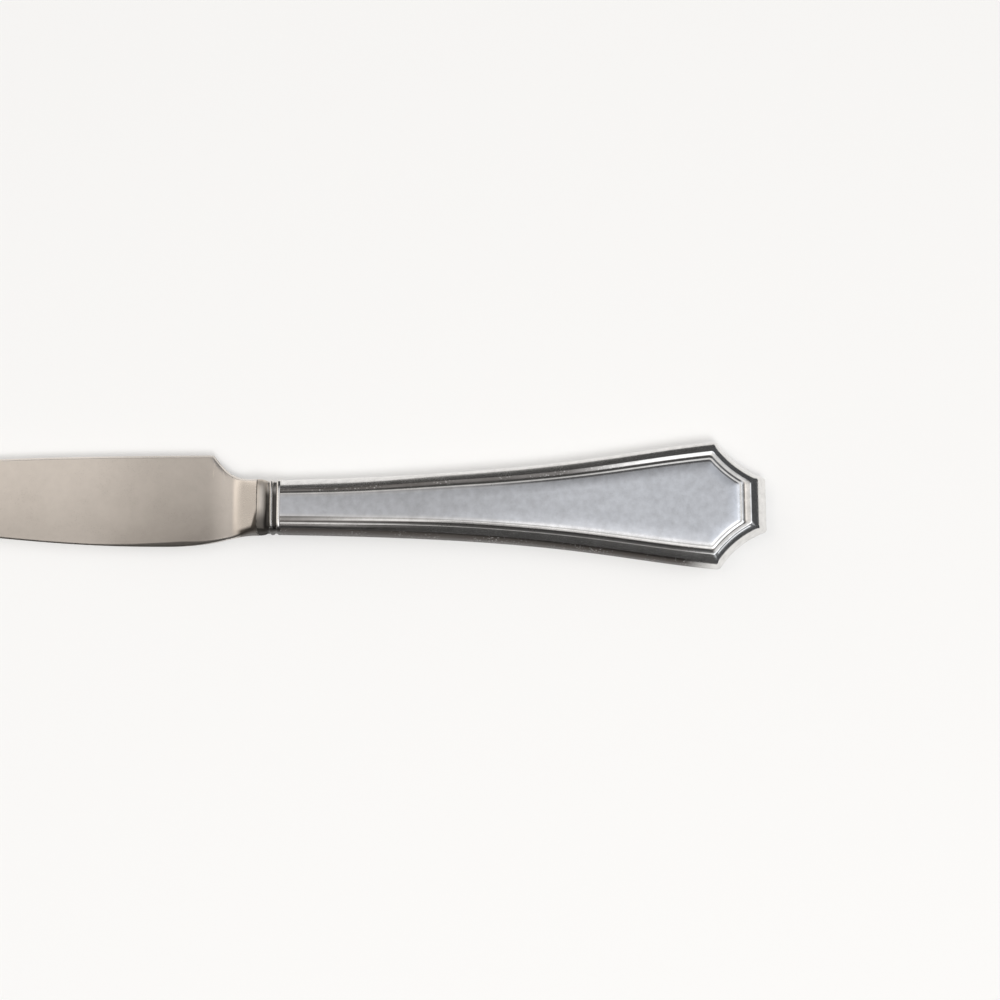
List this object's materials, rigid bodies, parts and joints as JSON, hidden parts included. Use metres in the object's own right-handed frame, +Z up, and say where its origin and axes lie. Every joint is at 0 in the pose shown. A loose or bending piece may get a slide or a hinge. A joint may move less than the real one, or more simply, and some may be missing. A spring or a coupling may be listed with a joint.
{
  "type": "dinner knife",
  "caption": "Table knife with a tapered round-tipped blade, a beaded collar and a hollow handle that flares to a notched butt with stepped border mouldings.",
  "frame": {"origin": "Middle of the knife's length and width, on the table that its handle lies on", "axes": "+X along the knife from the tip to the butt, +Y towards the spine, +Z up from the table"},
  "size_m": [0.229, 0.0278, 0.008],
  "materials": {
    "blade_steel": "fine satin, slightly warm",
    "solder": "dull",
    "collar_steel": "polished",
    "handle_steel": "satin panel with polished mouldings",
    "braze": "dull",
    "cement": "matt"
  },
  "bodies": {
    "root": {"blade": "blade_steel", "bolster_solder": "solder", "ferrule": "collar_steel", "front_shell": "handle_steel", "back_shell": "handle_steel", "seam_braze": "braze", "cement_filler": "cement"}
  },
  "joints": []
}
